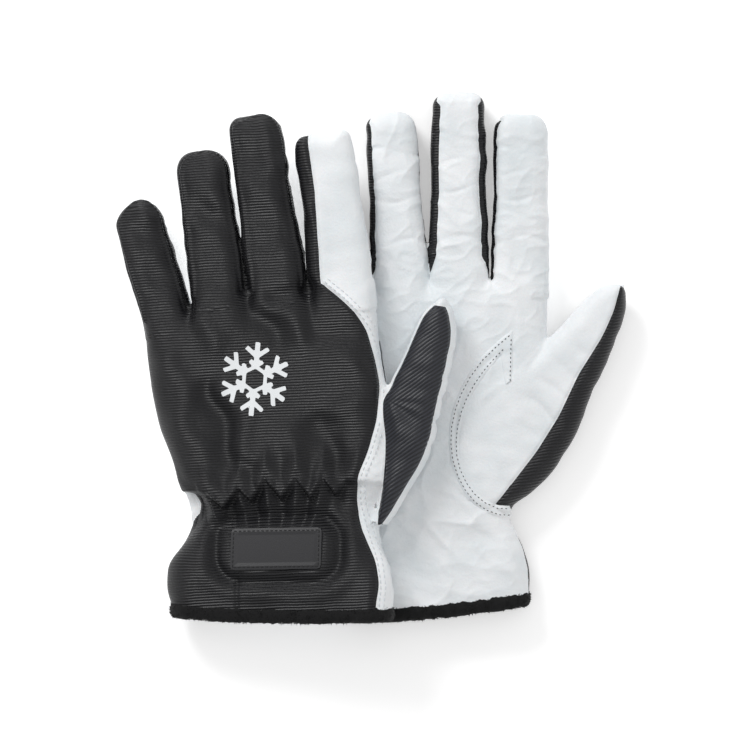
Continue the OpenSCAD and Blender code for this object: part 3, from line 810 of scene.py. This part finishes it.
def pile_trim(g, ring, material):
    """A rope of dark pile along the hem, with tufts standing out of it."""
    points, faces = [], []
    n, around = len(ring), 10
    centre = ring.mean(0)
    seeded = np.random.default_rng(19)
    frames = []
    for i in range(n):
        t = ring[(i + 1) % n] - ring[i - 1]
        t = t / np.linalg.norm(t)
        out = np.array([t[2], 0.0, -t[0]])
        out = out / max(np.linalg.norm(out), 1e-9)
        if out @ (ring[i] - centre) < 0:
            out = -out
        down = np.array([0.0, -1.0, 0.0])
        frames.append((out, down))
        swell = 1 + 0.05 * math.sin(i * 0.31) + 0.04 * math.sin(i * 0.83 + 1)
        for k in range(around):
            a = 2 * math.pi * k / around
            r = swell * (1 + 0.05 * seeded.standard_normal())
            core = ring[i] - out * 1.3 + down * 2.2
            points.append(core + out * 2.3 * r * math.cos(a) + down * 3.9 * r * math.sin(a))
    for i in range(n):
        for k in range(around):
            a, b = i * around + k, i * around + (k + 1) % around
            c, d = ((i + 1) % n) * around + (k + 1) % around, ((i + 1) % n) * around + k
            faces.append((a, b, c, d))
    for _ in range(3600):
        i = seeded.integers(n)
        out, down = frames[i]
        a = seeded.uniform(-0.9, math.pi * 0.95)
        way = out * math.cos(a) + down * math.sin(a)
        t = ring[(i + 1) % n] - ring[i]
        root = ring[i] + t * seeded.uniform() - out * 1.3 + down * 2.2
        root = root + out * 2.1 * math.cos(a) + down * 3.7 * math.sin(a)
        tip = root + (way + 0.5 * seeded.standard_normal(3)) * seeded.uniform(0.3, 0.8)
        side = np.cross(tip - root, seeded.standard_normal(3))
        side = side / max(np.linalg.norm(side), 1e-9) * 0.28
        up = np.cross(tip - root, side)
        up = up / max(np.linalg.norm(up), 1e-9) * 0.28
        base = len(points)
        points += [root + side, root - side * 0.5 + up, root - side * 0.5 - up, tip]
        faces += [(base, base + 1, base + 3), (base + 1, base + 2, base + 3), (base + 2, base, base + 3)]
    side = g["side"]
    return solid(g, f"{side}_hem_pile", np.array(points), faces, material, "pile_trim",
                 [f"{side}_hem_pile_trim"])

# %% Label and snowflake
def label_piece(g, tree):
    """A moulded label lying on the padded cuff, sewn down all round. It carries no words."""
    cx, cy, w, h = g["shift"] * 0.97 - 43.2, -90.8, 46.0, 20.5
    xs, ys = np.linspace(-w / 2, w / 2, 25), np.linspace(-h / 2, h / 2, 13)
    known, heights = [], []
    for x in xs:
        for y in ys:
            hit, _ = surface(tree, cx + x, cy + y + 0.02 * x, 1)
            if hit:
                known.append([1, x, y, x * x, x * y, y * y])
                heights.append(hit.z)
    fit = np.linalg.lstsq(np.array(known), np.array(heights), rcond=None)[0]
    points, faces, nx, ny = [], [], len(xs), len(ys)
    for level in (1.0, -0.4):
        for x in xs:
            for y in ys:
                corner = max(0.0, (abs(x) - w / 2 + 2)) * max(0.0, (abs(y) - h / 2 + 2)) * 0.15
                sx, sy = x - math.copysign(corner, x), y - math.copysign(corner, y)
                border = min(w / 2 - abs(x), h / 2 - abs(y))
                rim = 0.22 if 0.4 < border < 2.2 else 0.0
                z = fit @ [1, x, y, x * x, x * y, y * y] + level + (rim if level > 0 else 0)
                points.append((cx + sx, cy + sy + 0.02 * sx, z))
    top = lambda i, j: i * ny + j
    low = lambda i, j: nx * ny + i * ny + j
    for i in range(nx - 1):
        for j in range(ny - 1):
            faces.append((top(i, j), top(i + 1, j), top(i + 1, j + 1), top(i, j + 1)))
            faces.append((low(i, j + 1), low(i + 1, j + 1), low(i + 1, j), low(i, j)))
    for i in range(nx - 1):
        faces += [(top(i + 1, 0), top(i, 0), low(i, 0), low(i + 1, 0)),
                  (top(i, ny - 1), top(i + 1, ny - 1), low(i + 1, ny - 1), low(i, ny - 1))]
    for j in range(ny - 1):
        faces += [(top(0, j), top(0, j + 1), low(0, j + 1), low(0, j)),
                  (top(nx - 1, j + 1), top(nx - 1, j), low(nx - 1, j), low(nx - 1, j + 1))]
    side = g["side"]
    obj = solid(g, f"{side}_label", np.array(points), faces, LABEL, "label_rubber", [f"{side}_wrist_label"],
                smooth=False)
    own = BVHTree.FromPolygons([tuple(p) for p in points], faces)
    a, b = w / 2 - 1.3, h / 2 - 1.3
    frame_path = [(-a, -b), (a, -b), (a, b), (-a, b), (-a, -b)]
    path = [(cx + x, cy + y + 0.02 * x) for x, y in frame_path]
    paths = [path[i:i + 2] for i in range(4)]
    sewn = stitches(g, f"{side}_label_stitches", own, paths, 1, DARK_THREAD, "label_rubber", 2.3, 1.6, 0.24)
    return [obj, sewn]


def snowflake_field(g, x, y):
    """Above zero inside a plain six-armed snowflake."""
    dx, dy = x - (g["shift"] * 0.97 - 54.5), y + 6.5
    a0 = math.radians(85)
    best = np.full_like(x, -9.0)
    def bar(px, py, turn, start, end, half):
        s = px * math.cos(turn) + py * math.sin(turn)
        u = -px * math.sin(turn) + py * math.cos(turn)
        return np.minimum(half - np.abs(u), np.minimum(s - start, end - s))
    for k in range(6):
        t = a0 + k * math.pi / 3
        best = np.maximum(best, bar(dx, dy, t, 5.4, 18.4, 1.25))
        for at, size in ((6.4, 4.2), (11.2, 7.0)):
            px, py = dx - at * math.cos(t), dy - at * math.sin(t)
            for sign in (-1, 1):
                best = np.maximum(best, bar(px, py, t + sign * math.radians(52), -0.6, size, 1.1))
    # a bare six-sided ring joins the arms
    turns = [a0 + (k + 0.5) * math.pi / 3 for k in range(6)]
    ring = np.max([dx * math.cos(t) + dy * math.sin(t) for t in turns], axis=0)
    return np.maximum(best, np.minimum(6.3 - ring, ring - 4.5))


def inside_outline(outline, x, y):
    """Distance in from a closed outline, below zero outside it."""
    near, crossings = np.full(len(x), 1e9), np.zeros(len(x), int)
    for (x0, y0), (x1, y1) in zip(outline, np.roll(outline, -1, axis=0)):
        dx, dy = x1 - x0, y1 - y0
        t = np.clip(((x - x0) * dx + (y - y0) * dy) / (dx * dx + dy * dy), 0, 1)
        near = np.minimum(near, np.hypot(x - x0 - t * dx, y - y0 - t * dy))
        if y0 != y1:
            crossings += ((y0 > y) != (y1 > y)) & (x < x0 + (y - y0) * dx / dy)
    return np.where(crossings % 2 == 1, near, -near)


def evenly(path, count):
    """The same path with that many evenly spaced points."""
    length = arc_length(path)
    return sample(path, length, np.linspace(0, length[-1], count))

# %% One glove
# Columns of a skin's data: place, normal, ribs, the same point on the unshaped
# skin, three seam fields, and the distance in from the edge of the thumb's band.
POS, NORMAL = slice(0, 3), slice(3, 6)
PLAN_X, PLAN_Y, PLAN_Z, THUMB_PART, BLACK, T_BLACK, RISE = range(7, 14)


def build(g):
    side = g["side"]
    points, faces = skin(g)
    points = relax(points, faces, 2)
    faces, n = outward(points, faces)
    x, y, z = points.T
    hand_d, thumb_d = hand_field(g, x, y, z), thumb_field(g, x, y, z)
    black, t_black = black_field(g, x, y, z), thumb_black(g, x, y, z)
    is_thumb = thumb_d < hand_d
    points = points + n * relief(g, x, y, z, black, thumb_share(hand_d, thumb_d), t_black)[:, None]
    n = normals_of(points, faces)
    # the distance across the ribs: along the hand, and on the slant over a thumb
    slant = math.radians(g["thumb"][2] - 42)
    ribs = np.where(is_thumb, -x * math.sin(slant) + y * math.cos(slant), y - 0.05 * x)
    u, _ = in_hinge(g, x, y)
    thumb_part = np.minimum(u, hand_d - thumb_d)
    data = np.column_stack([points, n, ribs, x, y, z, thumb_part, black, t_black])
    whole = BVHTree.FromPolygons([tuple(p) for p in points], faces.tolist())

    (data, faces), _ = cut(data, faces, y - hem_line(g, x))
    ring = hem_loop(g, data)
    limbs = {}
    limbs["thumb"], (data, faces) = cut(data, faces, data[:, THUMB_PART])
    for name in g["fingers"]:
        s, u = in_finger(g, name, data[:, PLAN_X], data[:, PLAN_Y])
        edge = np.minimum(s - 0.5, g["fingers"][name][4] / 2 + 1.9 - np.abs(u))
        limbs[name], (data, faces) = cut(data, faces, edge)

    (dark, dark_faces), (light, light_faces) = cut(data, faces, data[:, BLACK])
    obj = piece(g, f"{side}_back_panel", dark, dark_faces, FABRIC, "back_fabric",
                [f"{side}_back_fabric", f"{side}_wrist_elastic"])
    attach(obj, f"{side}_hand")
    obj = piece(g, f"{side}_palm_panel", light, light_faces, LEATHER, "leather", [f"{side}_palm_leather"])
    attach(obj, f"{side}_hand")

    for name, (data_l, faces_l) in limbs.items():
        field = data_l[:, T_BLACK if name == "thumb" else BLACK]
        (dark, dark_faces), (light, light_faces) = cut(data_l, faces_l, field)
        if name == "thumb":
            jobs = [(dark, dark_faces, "leaf", LEAF if side == "left" else FABRIC, "thumb_fabric",
                     ["thumb_back", "thumb_lining"]),
                    (light, light_faces, "leather", LEATHER, "leather", ["thumb_leather"])]
        elif name == "index":
            jobs = [(dark, dark_faces, "side_panel", FABRIC, "side_fabric", ["index_side", "index_lining"]),
                    (light, light_faces, "leather_panel", LEATHER, "leather", ["index_leather"])]
        else:
            jobs = [(dark, dark_faces, "back_panel", FABRIC, "back_fabric",
                     [f"{name}_sides", f"{name}_back", f"{name}_lining"]),
                    (light, light_faces, "front_panel", LEATHER, "leather", [f"{name}_front"])]
        for d, f, word, material, slot, nodes in jobs:
            obj = piece(g, f"{side}_{name}_{word}", d, f, material, slot, [f"{side}_{q}" for q in nodes])
            if f"{side}_{name}" in frame["bodies"]:
                bend(g, obj, name)
            else:
                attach(obj, f"{side}_hand")

    # closed walls where hand and thumb meet, seen only when the thumb folds away
    for part, own, other in (("hand", hand_field, thumb_field), ("thumb", thumb_field, hand_field)):
        wall, wall_faces = skin(g, WALL_DEPTH, own)
        wall_faces, wall_n = outward(wall, wall_faces)
        wx, wy, wz = wall.T
        share = thumb_share(hand_field(g, wx, wy, wz), thumb_field(g, wx, wy, wz))
        dips = relief(g, wx, wy, wz, black_field(g, wx, wy, wz), share, thumb_black(g, wx, wy, wz))
        wall = wall + wall_n * np.minimum(dips, 0)[:, None]
        closing = np.minimum(-0.6 - other(g, wx, wy, wz), in_hinge(g, wx, wy)[0] + FOLD_SLACK)
        (wall_data, wall_faces), _ = cut(np.column_stack([wall, wall_n, wy, wall]), wall_faces, closing)
        obj = piece(g, f"{side}_{part}_inner_wall", wall_data, wall_faces, LEATHER, "leather", [])
        if part == "hand":
            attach(obj, f"{side}_hand")
        else:
            bend(g, obj, "thumb")

    # the lining shows inside the cuff
    inner, inner_faces = skin(g, LINING_DEPTH)
    inner_faces, inner_n = outward(inner, inner_faces)
    ix, iy, iz = inner.T
    inner_hand, inner_thumb = hand_field(g, ix, iy, iz), thumb_field(g, ix, iy, iz)
    share = thumb_share(inner_hand, inner_thumb)
    follow = relief(g, ix, iy, iz, black_field(g, ix, iy, iz), share, thumb_black(g, ix, iy, iz))
    inner = inner + inner_n * (0.95 * follow)[:, None]
    rough = 0.25 * waves(71, ix, iy, 3.2) + 0.2 * waves(72, iz, iy, 5)
    inner_data = np.column_stack([inner + inner_n * rough[:, None], -inner_n, inner[:, 1]])
    # it stops at the thumb's fold line, so that nothing of it is left behind when the thumb bends
    not_thumb = -np.minimum(in_hinge(g, ix, iy)[0] + FOLD_SLACK, inner_hand - inner_thumb)
    value = np.minimum(np.minimum(iy - hem_line(g, ix) + 1.5, -20 - iy), not_thumb)
    (inner_data, inner_faces), _ = cut(inner_data, inner_faces, value)
    obj = piece(g, f"{side}_lining", inner_data, inner_faces[:, ::-1], PILE, "pile_lining",
                [f"{side}_hand_lining"])
    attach(obj, f"{side}_hand")
    trim = pile_trim(g, ring, PILE)
    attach(trim, f"{side}_hand")

    for obj in label_piece(g, whole):
        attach(obj, f"{side}_hand")

    # the printed snowflake lies a hair above the knit
    flake = snowflake_field(g, data[:, PLAN_X], data[:, PLAN_Y])
    flake = np.where(data[:, PLAN_Z] > 2, flake, -9)
    (mark, mark_faces), _ = cut(data, faces, flake)
    mark[:, POS] += mark[:, NORMAL] * 0.12
    obj = piece(g, f"{side}_snowflake", mark, mark_faces, PRINT, "print_ink", [f"{side}_snowflake_print"])
    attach(obj, f"{side}_hand")

    # the raised band that frames the thumb on the palm, with an arrow and a hanging tongue at its upper end
    move = np.array([g["hinge"][0] - RIGHT["hinge"][0], g["hinge"][1] - RIGHT["hinge"][1]])
    outer, inner_edge = (np.array(p) + move for p in (BAND_OUTER, BAND_INNER))
    outline = np.vstack([outer, inner_edge[::-1]])
    rise = inside_outline(outline, data[:, PLAN_X], data[:, PLAN_Y])
    band = np.where(data[:, PLAN_Z] < -2, rise, -9)
    strip_data = np.column_stack([data, rise])
    (strip, strip_faces), _ = cut(strip_data, faces, band)
    strip[:, POS] += strip[:, NORMAL] * (0.65 * np.clip(strip[:, RISE] / 0.9, 0, 1) ** 0.5)[:, None]
    strip[:, NORMAL] = normals_of(strip[:, POS], strip_faces)
    obj = piece(g, f"{side}_thumb_band", strip, strip_faces, LEATHER, "leather", [f"{side}_thumb_seam_band"])
    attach(obj, f"{side}_hand")
    banded = BVHTree.FromPolygons([tuple(p) for p in strip[:, POS]], strip_faces.tolist())
    inner_even = evenly(inner_edge[4:], len(outer))
    rows = [outer * (1 - share) + inner_even * share for share in (0.22, 0.75)]
    rows.append(np.array([(72.6, 14), (72.0, -7)]) + move)
    thread = DARK_THREAD if side == "right" else THREAD
    obj = stitches(g, f"{side}_band_stitches", banded, rows, -1, thread, "leather", 2.2, 1.0, 0.2)
    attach(obj, f"{side}_hand")

    # twin rows of topstitching on the leather beside the back fabric
    rows = []
    for off in (1.6, 3.7):
        fine = np.linspace(-120, 42, 120)
        slope = np.gradient(curve(WRAP, 1, fine), fine)
        lean = np.hypot(1, slope)
        row = np.stack([curve(WRAP, 1, fine) + g["shift"] + off / lean, fine - off * slope / lean], 1)
        clear = thumb_inside(g, row[:, 0], row[:, 1]) < 0.3
        runs = np.split(np.arange(len(row)), np.flatnonzero(np.diff(clear)) + 1)
        rows += [row[k] for k in runs if clear[k[0]] and len(k) > 2]
    obj = stitches(g, f"{side}_wrap_stitches", whole, rows, 1, THREAD, "leather", 2.9, 1.9, 0.27)
    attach(obj, f"{side}_hand")


build(LEFT)
build(RIGHT)

# %% [markdown]
# ## Floor, light and camera
# A pale floor and three soft lights, with the camera straight above the table.

# %% Stage
bpy.ops.mesh.primitive_plane_add(size=6, location=(0, 0, -0.0012))
floor = bpy.context.object
floor.name = "floor"
floor_material = plain_material("pale_floor", "#FAFAFA", 0.85)
floor_shader = floor_material.node_tree.nodes["Principled BSDF"]
floor_shader.inputs["Emission Color"].default_value = (1, 1, 1, 1)
floor_shader.inputs["Emission Strength"].default_value = 0.34
floor.data.materials.append(floor_material)

world = bpy.data.worlds.new("room")
bpy.context.scene.world = world
world.use_nodes = True
world.node_tree.nodes["Background"].inputs["Color"].default_value = (1, 1, 1, 1)
world.node_tree.nodes["Background"].inputs["Strength"].default_value = 0.5


def soft_light(name, place, size, power):
    data = bpy.data.lights.new(name, "AREA")
    data.shape, data.size, data.energy = "SQUARE", size, power
    lamp = bpy.data.objects.new(name, data)
    lamp.location = place
    lamp.rotation_euler = (-Vector(place)).to_track_quat("-Z", "Y").to_euler()
    bpy.context.scene.collection.objects.link(lamp)
    return lamp


soft_light("key", (-0.85, 1.35, 1.15), 0.7, 19)
soft_light("fill", (1.2, -0.3, 1.1), 1.0, 3)
soft_light("top", (0.1, 0.2, 2.0), 1.2, 4)

SENSOR, DISTANCE, PICTURE_WIDTH, AIM_HEIGHT = 36, 3.0, 0.366, 0.02    # the first in mm, the rest in metres
cam_data = bpy.data.cameras.new("camera")
cam_data.lens = SENSOR * DISTANCE / PICTURE_WIDTH
cam_data.clip_end = 20
camera = bpy.data.objects.new("camera", cam_data)
camera.location = (-CENTRE[0] * MM, -CENTRE[1] * MM, DISTANCE + AIM_HEIGHT)
bpy.context.scene.collection.objects.link(camera)
bpy.context.scene.camera = camera
bpy.context.scene.view_settings.view_transform = "Standard"
